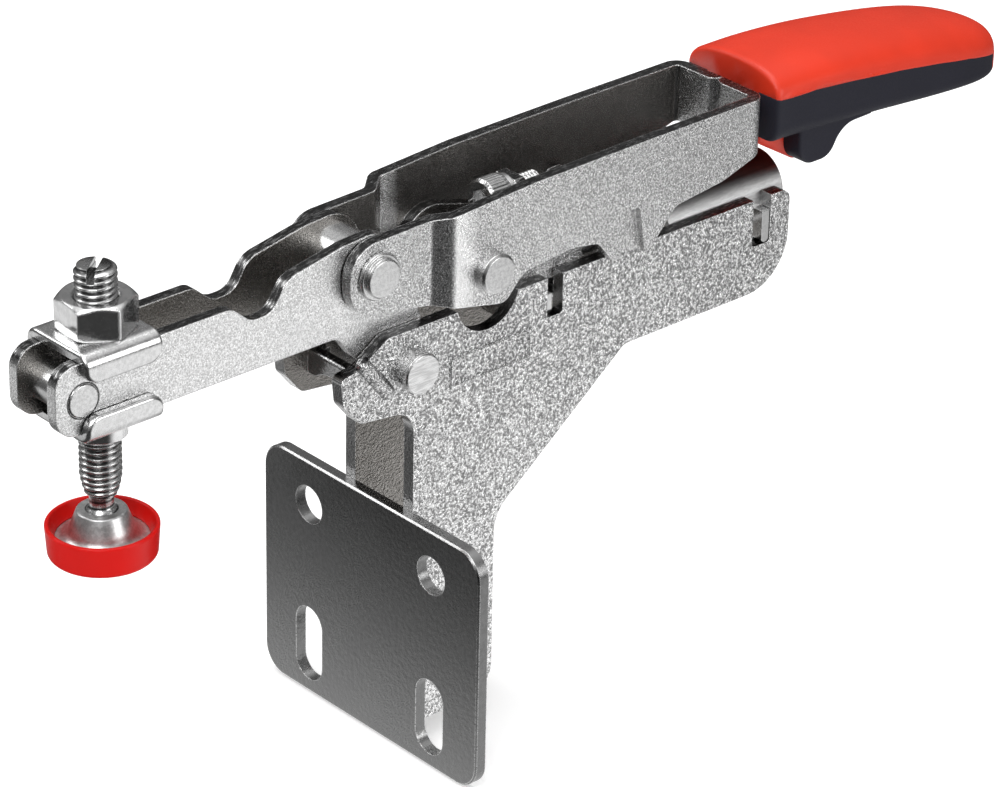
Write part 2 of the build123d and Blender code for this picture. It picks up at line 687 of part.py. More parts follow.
# ---------------------------------------------------------------- link set
def link():
    """Folded channel: two eyed sides and an upright lug for the screw."""
    side = strap(CX, CZ, LINK_C_R, DX, DZ, LINK_D_R, LINK_IN, LINK_OUT)
    ear = [
        (LUG_X - 4.0, CZ),
        (LUG_X - 1.5, LUG_TOP - 4.5, 2.0),
        (LUG_X + LINK_T, LUG_TOP - 4.5, 1.0),
        (LUG_X + LINK_T + 1.5, CZ - 1.0),
    ]
    side += slab(ear, LINK_IN, LINK_OUT)
    side -= pin(CX, CZ, C_PIN_R + RUN, LINK_IN - 1, LINK_OUT + 1)
    side -= pin(DX, DZ, D_PIN_R, LINK_IN - 1, LINK_OUT + 1)
    lug = block(LUG_X, LUG_X + LINK_T, -LINK_IN, LINK_IN, LUG_LOW, LUG_TOP)
    crown = [e for e in lug.edges().filter_by(Axis.X) if e.center().Z > LUG_TOP - 0.1]
    lug = chamfer(crown, 1.6)
    lug -= rod(0, SCREW_Z, SCREW_R + RUN, LUG_X - 1, LUG_X + LINK_T + 1)
    return side + far(side) + lug


def adjusting_screw():
    head_end = SCREW_X + SCREW_HEAD_H
    head = rod(0, SCREW_Z, SCREW_HEAD_R, SCREW_X, head_end)
    head = chamfer(head.faces().sort_by(Axis.X)[0].edges(), 0.5)
    socket = extrude(RegularPolygon(SCREW_HEX / 2, 6, major_radius=False), amount=2.6)
    head -= Pos(SCREW_X - 0.1, 0, SCREW_Z) * Rot(0, 90, 0) * socket
    shank = rod(0, SCREW_Z, SCREW_R, head_end, SCREW_TIP)
    shank = chamfer(shank.faces().sort_by(Axis.X)[-1].edges(), 0.6)
    return head + shank


def screw_washer():
    x0 = SCREW_X + SCREW_HEAD_H + RUN
    ring = rod(0, SCREW_Z, WASHER_R, x0, x0 + WASHER_T)
    return ring - rod(0, SCREW_Z, SCREW_R + RUN, x0 - 1, x0 + WASHER_T + 1)


def carriage_pin():
    return pin(DX, DZ, D_PIN_R, -LINK_OUT, LINK_OUT)


def carriage():
    """Block hung on the link; its fork straddles the guide bar."""
    wide = CHEEK_IN - SIDE
    slim = LINK_IN - SIDE
    neck_x = LINK_D_R - 0.8
    eye = pin(DX, DZ, LINK_D_R, -slim, slim)
    neck = block(DX - neck_x, DX + neck_x, -slim, slim, CARRIAGE_TOP - 1, DZ)
    body = block(DX - CARRIAGE_X, DX + CARRIAGE_X, -wide, wide, CARRIAGE_LOW, CARRIAGE_TOP)
    body = chamfer(body.edges().filter_by(Axis.Y), 0.8)
    slot_w = BAR_R + SIDE
    slot_top = BAR_Z + BAR_R + CARRIAGE_LIFT
    slot = block(DX - 9, DX + 9, -slot_w, slot_w, CARRIAGE_LOW - 5, slot_top)
    return eye + neck + body - slot - pin(DX, DZ, D_PIN_R + RUN, -wide, wide)


# ---------------------------------------------------------------- build
def main():
    save(base_plate(), "base_plate")
    save(frame_body(), "frame_body")
    arm_rivet = round_rivet(AX, AZ, A_PIN_R, CHEEK_OUT + A_HEAD_H, A_HEAD_R, CHEEK_OUT, 0.3)
    save(arm_rivet, "arm_pivot_rivet")
    save(guide_plate(FGUIDE_X, FGUIDE_TOP, FSLOT_Z + 0.1, CHEEK_OUT - 1.2), "guide_plate_front")
    save(guide_plate(RGUIDE_X, RGUIDE_TOP, RSLOT_Z + 0.1, CHEEK_OUT - 0.2), "guide_plate_rear")
    save(guide_bar(), "guide_bar")
    save(cover(), "guide_cover")
    arm = arm_plate()
    save(far(arm), "arm_plate_left")
    save(arm, "arm_plate_right")
    save(sleeve(TIP_PIN_X, TIP_PIN_Z, TIP_SLEEVE_R, TIP_PIN_R), "tip_sleeve")
    save(tip_rivet(), "tip_rivet")
    save(sleeve(BX, BZ, B_SLEEVE_R, B_PIN_R), "arm_sleeve")
    save(handle_rivet(), "handle_pivot_rivet")
    save(sleeve(AX, AZ, A_SLEEVE_R, A_PIN_R + RUN), "pivot_sleeve")
    save(saddle(True), "saddle_upper")
    save(saddle(False), "saddle_lower")
    save(bush(), "saddle_bush")
    save(nut(), "nut_upper")
    save(spindle(), "spindle")
    save(cup(), "foot_cup")
    save(pad(), "foot_pad")
    plate = handle_plate()
    save(far(plate), "handle_plate_left")
    save(plate, "handle_plate_right")
    save(link_rivet(), "link_rivet")
    core, panels = grip_parts()
    save(core, "grip_core")
    save(panels[0], "grip_side_left")
    save(panels[1], "grip_side_right")
    save(link(), "link")
    save(adjusting_screw(), "adjusting_screw")
    save(screw_washer(), "screw_washer")
    save(carriage_pin(), "carriage_pin")
    save(carriage(), "carriage")


main()
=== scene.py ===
"""Studio view of the toggle clamp: materials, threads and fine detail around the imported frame."""

import json
import math

import bmesh
import bpy
from mathutils import Matrix, Vector
from mathutils.bvhtree import BVHTree


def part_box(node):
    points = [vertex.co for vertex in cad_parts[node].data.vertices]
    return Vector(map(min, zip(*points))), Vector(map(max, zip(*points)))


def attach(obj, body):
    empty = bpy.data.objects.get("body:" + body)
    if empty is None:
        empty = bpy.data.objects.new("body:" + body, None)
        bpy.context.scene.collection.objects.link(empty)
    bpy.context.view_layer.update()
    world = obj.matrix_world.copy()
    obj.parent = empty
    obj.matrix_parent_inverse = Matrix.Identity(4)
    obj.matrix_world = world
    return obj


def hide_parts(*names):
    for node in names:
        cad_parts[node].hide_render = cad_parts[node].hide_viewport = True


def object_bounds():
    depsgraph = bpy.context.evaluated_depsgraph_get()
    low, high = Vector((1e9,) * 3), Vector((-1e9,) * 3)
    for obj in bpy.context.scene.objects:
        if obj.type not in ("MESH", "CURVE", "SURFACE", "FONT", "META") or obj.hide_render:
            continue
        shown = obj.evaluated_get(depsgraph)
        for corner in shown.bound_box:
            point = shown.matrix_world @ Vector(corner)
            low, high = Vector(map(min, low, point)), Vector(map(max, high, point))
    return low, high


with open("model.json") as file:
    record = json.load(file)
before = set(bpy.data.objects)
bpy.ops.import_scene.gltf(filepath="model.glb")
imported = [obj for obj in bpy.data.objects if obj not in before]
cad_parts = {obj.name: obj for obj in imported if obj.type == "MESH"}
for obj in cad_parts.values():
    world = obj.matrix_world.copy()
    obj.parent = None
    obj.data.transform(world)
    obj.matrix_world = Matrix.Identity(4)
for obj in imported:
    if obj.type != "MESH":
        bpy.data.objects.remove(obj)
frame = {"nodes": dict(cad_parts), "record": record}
CAD_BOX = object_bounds()
NODES = frame["nodes"]

MM = 0.001

# Sizes of the object are in millimetres, places in the frame's own X and Z.
SPINDLE_X, SPINDLE_R, SPINDLE_PITCH = -63.2, 3.95, 1.25
SPINDLE_CHAMFER, SPINDLE_CHAMFER_LEN = 0.75, 0.9
SPINDLE_SIDES, SPINDLE_ROWS_A_TURN = 56, 10
SLOT_BAR, SLOT_TURN = (30.0, 1.5, 5.0), math.radians(39)
TAPER_LOW, TAPER_HIGH, TAPER_R = 49.2, 53.4, 2.75
BALL_Z, BALL_R, NECK_R = 44.3, 3.4, 2.3
POINT_R = 0.05

SCREW_X0, SCREW_X1, SCREW_Z = 27.3, 41.4, 80.2
SCREW_HEAD_R, SCREW_HEAD_LEN, SCREW_HEAD_CHAMFER = 4.25, 5.0, 0.5
SCREW_R, SCREW_PITCH, SCREW_DEPTH, SCREW_CHAMFER = 2.5, 0.8, 0.4, 0.6
KNURLS, KNURL_DEPTH, KNURL_GROOVE, KNURL_SHOULDER = 34, 0.16, 0.18, 0.10
SOCKET_HALF, SOCKET_DEPTH = 2.0, 2.6

# Stations of the grip along x: half width, height of the crown and of its shoulder.
GRIP_X = (93.8, 104.0, 116.0, 129.0, 142.0, 151.0, 158.0, 163.6, 166.8)
GRIP_HALF = (12.9, 12.95, 12.9, 12.6, 12.1, 11.2, 9.5, 6.9, 3.6)
GRIP_CROWN = (92.2, 92.3, 91.7, 90.3, 88.4, 86.5, 84.2, 81.4, 78.2)
GRIP_SHOULDER = (86.6, 86.1, 85.0, 83.4, 81.3, 79.5, 77.6, 76.0, 75.0)
CROWN_POWER = 2.35

# How close to the first and last station the crown is read, how far a point of it
# may be moved, the depth under the shoulder where moving starts, and a height above.
CROWN_INSET = (1.3, 0.8)
CROWN_LIFT = (-0.8, 1.2)
SHOULDER_BLEND = 0.1
ABOVE_GRIP = 120.0

# Ring of painted shade round the tip rivet: x, z, inner and outer radius. Joggle of the handle
# plates: where its band of painted highlight starts and ends along x, and how it fades out.
TIP_SHADE_RING = (-71.6, 73.4, 3.1, 3.5)
JOGGLE_LIGHT = (10.0, 12.2, 3.5)

UP, FORWARD, SIDEWAYS, SLANTED = (0, 0, 1), (-1, 0, 0), (0, 1, 0), (-0.7, 0.7, 0)

# Nearly all of a noise texture lies between these two values.
SPREAD = (0.3, 0.7)

ROUNDING_SAMPLES, EDGE_SAMPLES = 4, 6
# Greys of edges brightened by wear and painted highlight, of a painted bend highlight, and of
# painted glints.
WORN_AND_HIGHLIGHT_GREY, BEND_HIGHLIGHT_GREY, GLINT_GREY = 0.95, 1.0, 0.34
# Greys of painted shade: on a joggle's slanted faces, in thread grooves, and round a rivet.
JOGGLE_SHADE_GREY, GROOVE_SHADE_GREY, RIVET_SHADE_GREY = 0.08, 0.03, 0.02

# Creases show where faces meet at more than these angles, in degrees.
SPINDLE_CREASE, SCREW_CREASE, GRIP_CREASE = 50, 40, 38

# Azimuth, lift and roll of the camera in degrees. Its place and the stage are in metres.
CAMERA_ANGLES = (-42.405, 27.544, 1.208)
CAMERA_PLACE = (-0.466665, -0.547431, 0.423732)
CAMERA_LENS, CAMERA_SENSOR = 154.8, 36.0
CAMERA_CLIP = (0.05, 20.0)

FLOOR_HALF, FLOOR_DROP = 6.0, 0.0006
FLOOR_GREY, FLOOR_ROUGH = 0.80, 0.9

# Height in reflections, from straight down to straight up, and brightness there.
WORLD_BANDS = (
    (0.0, 0.6), (0.50, 0.12), (0.56, 0.12), (0.64, 0.22), (0.80, 0.24), (0.90, 0.9), (1.0, 1.0),
)

# Name, place, target, side of the square and power of each area light.
LIGHTS = (
    ("key", (-0.9, -0.5, 1.1), (0, 0, 0.05), 0.8, 11.0),
    ("top", (0.1, 0.1, 1.5), (0, 0, 0.05), 0.9, 9.0),
    ("side", (0.5, -1.3, 0.4), (0, 0, 0.05), 0.7, 7.0),
    ("rim", (-0.70, 1.05, 0.98), (0, 0, 0.02), 0.5, 4.0),
)


def put_in_scene(name, data):
    """New object with the data, in the scene's own collection."""
    obj = bpy.data.objects.new(name, data)
    bpy.context.scene.collection.objects.link(obj)
    return obj


# ------------------------------------------------------------------ camera
def make_camera():
    """Long lens from the front left and above, at the photograph's angle."""
    azimuth, lift, roll = (math.radians(angle) for angle in CAMERA_ANGLES)
    level = math.cos(lift)
    back = Vector((math.sin(azimuth) * level, -math.cos(azimuth) * level, math.sin(lift)))
    right = Vector((math.cos(azimuth), math.sin(azimuth), 0.0))
    up = back.cross(right)
    side = math.cos(roll) * right + math.sin(roll) * up
    top = -math.sin(roll) * right + math.cos(roll) * up
    data = bpy.data.cameras.new("camera")
    data.sensor_width = CAMERA_SENSOR
    data.sensor_fit = "HORIZONTAL"
    data.lens = CAMERA_LENS
    data.clip_start, data.clip_end = CAMERA_CLIP
    cam = put_in_scene("camera", data)
    turn = Matrix((side, top, back)).transposed().to_4x4()
    cam.matrix_world = Matrix.Translation(CAMERA_PLACE) @ turn
    bpy.context.scene.camera = cam


# ------------------------------------------------------------------ node helpers
def new_material(name):
    """Material with its node tree and its shader."""
    mat = bpy.data.materials.new(name)
    mat.use_nodes = True
    return mat, mat.node_tree, mat.node_tree.nodes["Principled BSDF"]


def grey(value):
    """Opaque colour of one grey value."""
    return (value, value, value, 1.0)


def feed(tree, socket, value):
    """Give an input another node's output to follow, or a fixed value."""
    if isinstance(value, bpy.types.NodeSocket):
        tree.links.new(value, socket)
    else:
        socket.default_value = value


def add(tree, kind, **values):
    """Node of a kind, with its properties and inputs set by name."""
    node = tree.nodes.new(kind)
    for key, value in values.items():
        if hasattr(node, key) and key not in node.inputs:
            setattr(node, key, value)
        else:
            feed(tree, node.inputs[key], value)
    return node


def coord(tree, which):
    """Texture coordinates of one kind."""
    return tree.nodes.new("ShaderNodeTexCoord").outputs[which]


def split(tree, vector):
    """The sockets X, Y and Z of a vector."""
    return add(tree, "ShaderNodeSeparateXYZ", Vector=vector).outputs


def coords(tree, scale=(1, 1, 1), turn=(0, 0, 0)):
    """Object coordinates in millimetres, optionally turned and stretched."""
    mapping = add(
        tree, "ShaderNodeMapping", Vector=coord(tree, "Object"),
        Scale=[s / MM for s in scale], Rotation=[math.radians(a) for a in turn],
    )
    return mapping.outputs["Vector"]


def noise(tree, vector, scale, detail, rough):
    """Noise texture with a scale in waves for each millimetre."""
    node = add(
        tree, "ShaderNodeTexNoise", Vector=vector, Scale=scale, Detail=detail, Roughness=rough
    )
    return node.outputs["Fac"]


def ramp(tree, fac, low, high, a=0.0, b=1.0, kind="LINEAR"):
    """Map of fac from low..high onto a..b, straight or as a smooth step."""
    node = add(tree, "ShaderNodeMapRange", interpolation_type=kind, Value=fac)
    for key, value in (("From Min", low), ("From Max", high), ("To Min", a), ("To Max", b)):
        node.inputs[key].default_value = value
    return node.outputs["Result"]


def mix_colour(tree, fac, first, second):
    """The first colour where fac is 0 and the second where it is 1."""
    node = add(tree, "ShaderNodeMix", data_type="RGBA")
    for key, value in (("Factor", fac), ("A", first), ("B", second)):
        feed(tree, node.inputs[key], value)
    return node.outputs["Result"]


def maths(tree, operation, *terms):
    """Maths of sockets and numbers."""
    node = add(tree, "ShaderNodeMath", operation=operation)
    for socket, term in zip(node.inputs, terms):
        feed(tree, socket, term)
    return node.outputs[0]


def vector_maths(tree, operation, *terms):
    """Maths of vector sockets and constant vectors."""
    node = add(tree, "ShaderNodeVectorMath", operation=operation)
    for socket, term in zip(node.inputs, terms):
        feed(tree, socket, term)
    return node.outputs["Value" if operation in ("DOT_PRODUCT", "LENGTH") else "Vector"]


def bump(tree, height, distance, normal):
    """Normal after a bump that is laid over an earlier normal."""
    node = add(
        tree, "ShaderNodeBump", Strength=1.0, Distance=distance, Height=height, Normal=normal
    )
    return node.outputs["Normal"]


def rounded(tree, radius, samples):
    """Normal as if the edges were rounded to a radius."""
    return add(tree, "ShaderNodeBevel", samples=samples, Radius=radius).outputs["Normal"]


# ------------------------------------------------------------------ masks
def edge_mask(tree, radius):
    """Nearly 1 close to convex edges and 0 on open faces."""
    flat = tree.nodes.new("ShaderNodeNewGeometry").outputs["Normal"]
    alike = vector_maths(tree, "DOT_PRODUCT", rounded(tree, radius, EDGE_SAMPLES), flat)
    return ramp(tree, alike, 0.995, 0.90)


def inward(tree):
    """1 on faces that look towards the middle plane of the clamp, 0 elsewhere."""
    place = split(tree, coord(tree, "Object"))["Y"]
    way = split(tree, coord(tree, "Normal"))["Y"]
    return ramp(tree, maths(tree, "MULTIPLY", place, way), -1.0 * MM, -2.2 * MM)


def towards(tree, axis, low, high):
    """0 to 1 as a face turns towards an axis of its own body."""
    turned = vector_maths(tree, "DOT_PRODUCT", coord(tree, "Normal"), axis)
    return ramp(tree, turned, low, high)


def towards_both(tree, axis, low, high):
    """The same, towards an axis or its mirror image across the middle plane."""
    x, y, z = axis
    left, right = (towards(tree, (x, side, z), low, high) for side in (-y, y))
    return maths(tree, "MAXIMUM", left, right)


def between(tree, fac, start, full, last, end):
    """1 where fac lies from full to last, down to 0 at start and at end."""
    rise = ramp(tree, fac, start, full)
    fall = ramp(tree, fac, last, end, 1.0, 0.0)
    return maths(tree, "MULTIPLY", rise, fall)


def thread_groove_shade(tree, x, pitch):
    """Mask of painted shade: up to 0.85 in the groove of a thread round a vertical axis at x."""
    place = split(tree, coord(tree, "Object"))
    angle = maths(tree, "ARCTAN2", place["Y"], maths(tree, "SUBTRACT", place["X"], x * MM))
    turns = maths(tree, "DIVIDE", angle, math.tau)
    phase = maths(tree, "SUBTRACT", maths(tree, "DIVIDE", place["Z"], pitch * MM), turns)
    wave = maths(tree, "COSINE", maths(tree, "MULTIPLY", phase, math.tau))
    return ramp(tree, wave, -0.1, 0.9, 0.0, 0.85)


def band_round(tree, x, z, inner, outer):
    """1 in a thin ring round an axis along Y, 0 elsewhere."""
    aside = vector_maths(tree, "SUBTRACT", coord(tree, "Object"), (x * MM, 0.0, z * MM))
    flat = vector_maths(tree, "MULTIPLY", aside, (1.0, 0.0, 1.0))
    radii = (inner - 0.1, inner, outer, outer + 0.15)
    return between(tree, vector_maths(tree, "LENGTH", flat), *(r * MM for r in radii))


def bend_highlight_mask(tree, low, high, fade):
    """1 on side faces between two places along x, where a highlight of the bend is painted."""
    place = split(tree, coord(tree, "Object"))["X"]
    band = between(tree, place, *(x * MM for x in (low, low + 0.3, high, high + fade)))
    return maths(tree, "MULTIPLY", band, towards_both(tree, SIDEWAYS, 0.90, 0.99))


# ------------------------------------------------------------------ materials
def paint_shaded_cut_edges(tree, colour, cut, front):
    """Sheared edges that look up or forward, in painted shade with painted glints: the colour with
    them on it, and their mask.
    """
    glint_noise = noise(tree, coords(tree, (0.25, 1.0, 0.25)), 2.4, 2.0, 0.6)
    # Painted glints: lighter streaks over the dark sheared edges.
    shaded_cut = mix_colour(tree, ramp(tree, glint_noise, 0.52, 0.66), grey(cut), grey(GLINT_GREY))
    # Painted shade: sheared edges that look up are darkened.
    mask = towards(tree, UP, 0.25, 0.55)
    colour = mix_colour(tree, mask, colour, shaded_cut)
    if front is not None:
        # Painted shade: faces that look forward get an even mid grey.
        ahead = towards(tree, FORWARD, 0.60, 0.90)
        colour = mix_colour(tree, ahead, colour, grey(front))
        mask = maths(tree, "MAXIMUM", mask, ahead)
    return colour, mask


def paint_joggle_light(tree, colour, band):
    """Painted shade on the slanted faces of a joggle, and a band of painted highlight beside it."""
    slanted = maths(tree, "MULTIPLY", towards_both(tree, SLANTED, 0.90, 0.97), 0.75)
    colour = mix_colour(tree, slanted, colour, grey(JOGGLE_SHADE_GREY))
    bright = maths(tree, "MULTIPLY", bend_highlight_mask(tree, *band), 0.85)
    return mix_colour(tree, bright, colour, grey(BEND_HIGHLIGHT_GREY))


def sheet_steel(
    name, tones, grain, sparkle, relief, roughness, patchy=0.12, stretch=(1, 1, 1),
    turn=(0, 0, 0), edge=0.9, rim=0.3, bevel=0.25, inside=None, cut=None, front=None,
    bend=None, top=None, root=None, ring=None, fade=None,
):
    """Plated steel: rolled grain, a fine sparkle on top of it, edges brightened by wear and by a
    painted highlight.

    tones      dark and light grey of the grain
    grain      scale of the grain, and sparkle that of the sparkle
    relief     depth of the grain in mm
    roughness  its low and high value over large patches
    patchy     how far the tone drifts over large patches
    stretch    of the grain along each axis, after its turn in degrees
    edge       strength of the edges brightened by wear and painted highlight, and rim their width in mm
    bevel      rounding of the edges in mm, in the look alone
    inside     grey of painted shade on faces that look towards the middle plane
    cut        grey of painted shade on sheared edges that look up, and front that of faces that look forward
    bend       painted shade and highlight of a joggle: start, end and fade along x in mm of the highlight band
    top        grey of painted shade on faces that look up, and the turn where it starts and is full
    root       x and pitch in mm of an upright thread with painted shade in its grooves
    ring       x, z, inner and outer radius in mm of a ring of painted shade round a rivet
    fade       low and high place in mm and the grey that takes over downwards,
               where the relief is deepest too
    """
    mat, tree, bsdf = new_material(name)
    vector = coords(tree, stretch, turn)
    coarse = noise(tree, vector, grain, 2.0, 0.55)
    fine = noise(tree, vector, sparkle, 1.0, 0.6)
    cloud = noise(tree, coords(tree), 0.06, 3.0, 0.6)
    parts = (maths(tree, "MULTIPLY", coarse, 0.65), maths(tree, "MULTIPLY", fine, 0.35))
    tone = ramp(tree, maths(tree, "ADD", *parts), 0.42, 0.58)
    shade = maths(tree, "ADD", tone, ramp(tree, cloud, *SPREAD, -patchy, patchy))
    colour = mix_colour(tree, shade, *(grey(value) for value in tones))
    heights = [coarse, fine]

    if fade is not None:
        low, high, tint = fade
        place = split(tree, coord(tree, "Object"))["Z"]
        tinted = ramp(tree, place, high * MM, low * MM, 0.0, 0.8)
        colour = mix_colour(tree, tinted, colour, grey(tint))
        peel = ramp(tree, place, high * MM, low * MM, 0.2, 1.0)
        levels = (peel, maths(tree, "MULTIPLY", peel, 0.3))
        heights = [maths(tree, "MULTIPLY", *pair) for pair in zip(heights, levels)]
    # Painted shade: faces that look towards the middle plane are darkened, as if less light reached
    # them.
    if inside is not None:
        inner_shade_colour = (inside, 0.96 * inside, 0.91 * inside, 1.0)
        colour = mix_colour(tree, inward(tree), colour, inner_shade_colour)
    # Painted shade with painted glints on sheared edges that look up, and painted shade on faces
    # that look forward.
    if cut is not None:
        colour, mask = paint_shaded_cut_edges(tree, colour, cut, front)
        calm = ramp(tree, mask, 0.0, 1.0, 1.0, 0.12)
        heights = [maths(tree, "MULTIPLY", height, calm) for height in heights]
    # Painted shade on the joggle's slanted faces and a painted highlight beside the bend.
    if bend is not None:
        colour = paint_joggle_light(tree, colour, bend)
    # Painted shade: faces that look up are darkened.
    if top is not None:
        value, low, high = top
        colour = mix_colour(tree, towards(tree, UP, low, high), colour, grey(value))
    # Painted shade in the thread's grooves.
    if root is not None:
        colour = mix_colour(tree, thread_groove_shade(tree, *root), colour, grey(GROOVE_SHADE_GREY))
    # Painted shade: a dark ring round the rivet head.
    if ring is not None:
        colour = mix_colour(tree, band_round(tree, *ring), colour, grey(RIVET_SHADE_GREY))

    # Convex edges brightened: partly wear, partly a painted highlight.
    wear_and_highlight = ramp(tree, fine, 0.34, 0.48, 0.0, edge)
    wear_and_highlight = maths(tree, "MULTIPLY", edge_mask(tree, rim * MM), wear_and_highlight)
    feed(tree, bsdf.inputs["Base Color"], mix_colour(tree, wear_and_highlight, colour, grey(WORN_AND_HIGHLIGHT_GREY)))
    spread = ramp(tree, fine, *SPREAD, -0.04, 0.04)
    rough = maths(tree, "ADD", ramp(tree, cloud, *SPREAD, *roughness), spread)
    feed(tree, bsdf.inputs["Roughness"], rough)
    bsdf.inputs["Metallic"].default_value = 1.0
    normal = rounded(tree, bevel * MM, ROUNDING_SAMPLES)
    for height, depth in zip(heights, (relief * MM, relief * MM * 0.5)):
        normal = bump(tree, height, depth, normal)
    feed(tree, bsdf.inputs["Normal"], normal)
    return mat


def plastic(name, colour, rough, grain, depth, specular):
    """Moulded plastic: fine spark-eroded skin, a little colour drift and edges paled by wear and by
    a painted highlight.
    """
    mat, tree, bsdf = new_material(name)
    vector = coords(tree)
    skin = noise(tree, vector, grain, 2.0, 0.5)
    drift = ramp(tree, noise(tree, vector, 0.08, 2.0, 0.5), 0.35, 0.65)
    dark = tuple(0.90 * c for c in colour)
    pale = tuple(min(1.0, 1.12 * c + 0.012) for c in colour)
    body = mix_colour(tree, drift, (*colour, 1.0), (*dark, 1.0))
    # Convex edges paled: partly wear, partly a painted highlight.
    worn = ramp(tree, skin, 0.35, 0.65, 0.15, 0.5)
    worn = maths(tree, "MULTIPLY", edge_mask(tree, 0.6 * MM), worn)
    feed(tree, bsdf.inputs["Base Color"], mix_colour(tree, worn, body, (*pale, 1.0)))
    feed(tree, bsdf.inputs["Roughness"], ramp(tree, skin, *SPREAD, rough - 0.06, rough + 0.06))
    normal = bump(tree, skin, depth * MM, rounded(tree, 0.5 * MM, ROUNDING_SAMPLES))
    feed(tree, bsdf.inputs["Normal"], normal)
    bsdf.inputs["Specular IOR Level"].default_value = specular
    return mat


STEELS = {
    # Galvanised steel: inside, cut and front paint shade onto inner, upward and forward faces.
    "galvanised_steel": dict(
        tones=(0.23, 0.92), grain=1.75, sparkle=3.4, relief=0.42, roughness=(0.16, 0.24),
        patchy=0.06, inside=0.38, cut=0.05, front=0.42,
    ),
    "plated_steel": dict(
        tones=(0.38, 0.86), grain=2.6, sparkle=5.2, relief=0.14, roughness=(0.20, 0.28),
        patchy=0.06, inside=0.16, cut=0.05, bevel=0.4, rim=0.4, bend=JOGGLE_LIGHT,
    ),
    "dark_steel": dict(
        tones=(0.10, 0.13), grain=1.1, sparkle=3.6, relief=0.015, roughness=(0.24, 0.32),
        patchy=0.2, edge=0.8,
    ),
    "ground_steel": dict(
        tones=(0.54, 0.68), grain=1.4, sparkle=3.8, relief=0.006, roughness=(0.20, 0.28),
    ),
    "bright_steel": dict(
        tones=(0.66, 0.74), grain=0.5, sparkle=2.4, relief=0.004, roughness=(0.12, 0.18),
        edge=0.5,
    ),
    "thread_steel": dict(
        tones=(0.46, 0.58), grain=0.9, sparkle=2.8, relief=0.006, roughness=(0.18, 0.26),
        edge=0.3,
    ),
    "spindle_steel": dict(
        tones=(0.48, 0.60), grain=0.9, sparkle=2.8, relief=0.006, roughness=(0.20, 0.28),
        edge=0.2, root=(SPINDLE_X, SPINDLE_PITCH),
    ),
    "cup_steel": dict(
        tones=(0.50, 0.64), grain=1.2, sparkle=3.4, relief=0.010, roughness=(0.34, 0.42),
        edge=0.5,
    ),
    "nut_steel": dict(
        tones=(0.74, 0.84), grain=0.5, sparkle=2.4, relief=0.004, roughness=(0.10, 0.16),
        edge=1.1, rim=0.8, bevel=0.8,
    ),
    "saddle_steel": dict(
        tones=(0.60, 0.72), grain=1.0, sparkle=3.4, relief=0.008, roughness=(0.20, 0.28),
        edge=0.7,
    ),
    "arm_sheet": dict(
        tones=(0.58, 0.96), grain=3.0, sparkle=5.6, relief=0.090, roughness=(0.22, 0.30),
        patchy=0.05, inside=0.34, cut=0.05, ring=TIP_SHADE_RING, bevel=0.4, rim=0.4,
    ),
    # Base plate: its cut grey paints the upward edges and chamfer lighter, as a painted highlight.
    "plate_steel": dict(
        tones=(0.15, 0.18), grain=1.0, sparkle=2.8, relief=0.22, roughness=(0.24, 0.32),
        patchy=0.1, edge=0.8, fade=(-26, 4, 0.20), cut=0.30,
    ),
    "pin_face": dict(
        tones=(0.54, 0.76), grain=2.6, sparkle=4.5, relief=0.006, roughness=(0.20, 0.30),
        turn=(0, 35, 0), stretch=(0.12, 1, 1), edge=0.7,
    ),
    "rolled_cover": dict(
        tones=(0.66, 0.80), grain=1.6, sparkle=4.0, relief=0.004, roughness=(0.36, 0.42),
        stretch=(0.2, 1, 1), edge=0.6, top=(0.05, 0.30, 0.75),
    ),
}
PLASTICS = {
    "red_plastic": dict(
        colour=(0.655, 0.033, 0.010), rough=0.40, grain=3.0, depth=0.008, specular=0.38,
    ),
    "red_rubber": dict(
        colour=(0.62, 0.004, 0.002), rough=0.34, grain=2.2, depth=0.003, specular=0.22,
    ),
    "dark_rubber": dict(
        colour=(0.012, 0.012, 0.021), rough=0.60, grain=4.0, depth=0.012, specular=0.3,
    ),
}
MAT = {name: sheet_steel(name, **look) for name, look in STEELS.items()}
MAT.update((name, plastic(name, **look)) for name, look in PLASTICS.items())

# Nodes whose look is closer than that of their material slot.
SPECIAL = {
    "arm_plate_left": "arm_sheet",
    "arm_plate_right": "arm_sheet",
    "base_plate": "plate_steel",
    "arm_pivot_rivet": "pin_face",
    "nut_upper": "nut_steel",
    "guide_cover": "rolled_cover",
    "foot_cup": "cup_steel",
    "saddle_upper": "saddle_steel",
    "saddle_lower": "saddle_steel",
}


def paint(obj, look):
    """Give an object one material."""
    obj.data.materials.clear()
    obj.data.materials.append(MAT[look])


# ------------------------------------------------------------------ threaded pieces
def ring_mesh(name, rows, count, radius_at):
    """Closed skin of rings: radius_at(angle, place) for each place in rows, capped."""
    verts, faces = [], []
    for place in rows:
        for k in range(count):
            angle = math.tau * k / count
            r = radius_at(angle, place)
            verts.append((r * math.cos(angle) * MM, r * math.sin(angle) * MM, place * MM))
    for i in range(len(rows) - 1):
        for k in range(count):
            a, b = i * count + k, i * count + (k + 1) % count
            faces.append((a, b, b + count, a + count))
    faces.append(tuple(reversed(range(count))))
    last = (len(rows) - 1) * count
    faces.append(tuple(last + k for k in range(count)))
    mesh = bpy.data.meshes.new(name)
    mesh.from_pydata(verts, [], faces)
    mesh.update()
    return put_in_scene(name, mesh)


def carve(obj, cutter):
    """Cut one closed mesh out of another and keep the result as plain mesh."""
    mod = obj.modifiers.new("carve", "BOOLEAN")
    mod.operation = "DIFFERENCE"
    mod.solver = "EXACT"
    mod.object = cutter
    bpy.context.view_layer.update()
    graph = bpy.context.evaluated_depsgraph_get()
    mesh = bpy.data.meshes.new_from_object(obj.evaluated_get(graph))
    obj.modifiers.clear()
    obj.data = mesh
    bpy.data.objects.remove(cutter)


